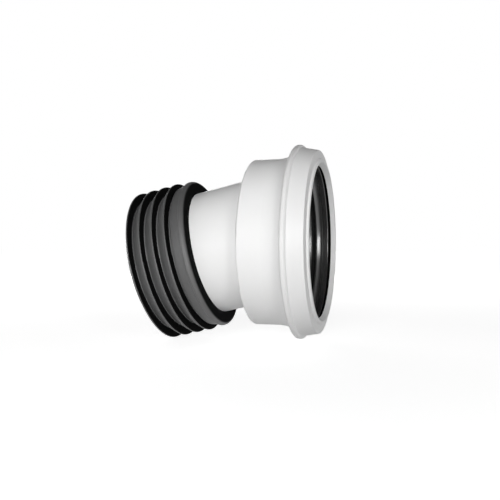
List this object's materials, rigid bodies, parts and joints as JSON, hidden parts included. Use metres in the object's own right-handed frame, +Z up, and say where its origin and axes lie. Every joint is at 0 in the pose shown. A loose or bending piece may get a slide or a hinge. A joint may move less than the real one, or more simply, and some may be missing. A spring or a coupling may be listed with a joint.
{
  "type": "toilet pan connector",
  "caption": "Short rigid pan connector: a wide socket with a rubber lip seal and a snap ring, and a slightly tilted spigot with a finned rubber sleeve.",
  "frame": {"origin": "centre of the socket's mouth, in the plane of the raised lip's crest, on the socket's axis", "axes": "+X along the socket's axis out of the mouth, +Z up as in the picture, the spigot leaves towards -X and a little down"},
  "size_m": [0.1442, 0.143, 0.1451],
  "materials": {
    "white_plastic": "satin moulded white",
    "white_ring_plastic": "satin moulded white",
    "seal_rubber": "smooth moulded black",
    "sleeve_rubber": "smooth moulded black"
  },
  "bodies": {
    "root": {"connector_body": "white_plastic", "retaining_ring": "white_ring_plastic", "socket_seal": "seal_rubber", "finned_sleeve": "sleeve_rubber"}
  },
  "joints": []
}
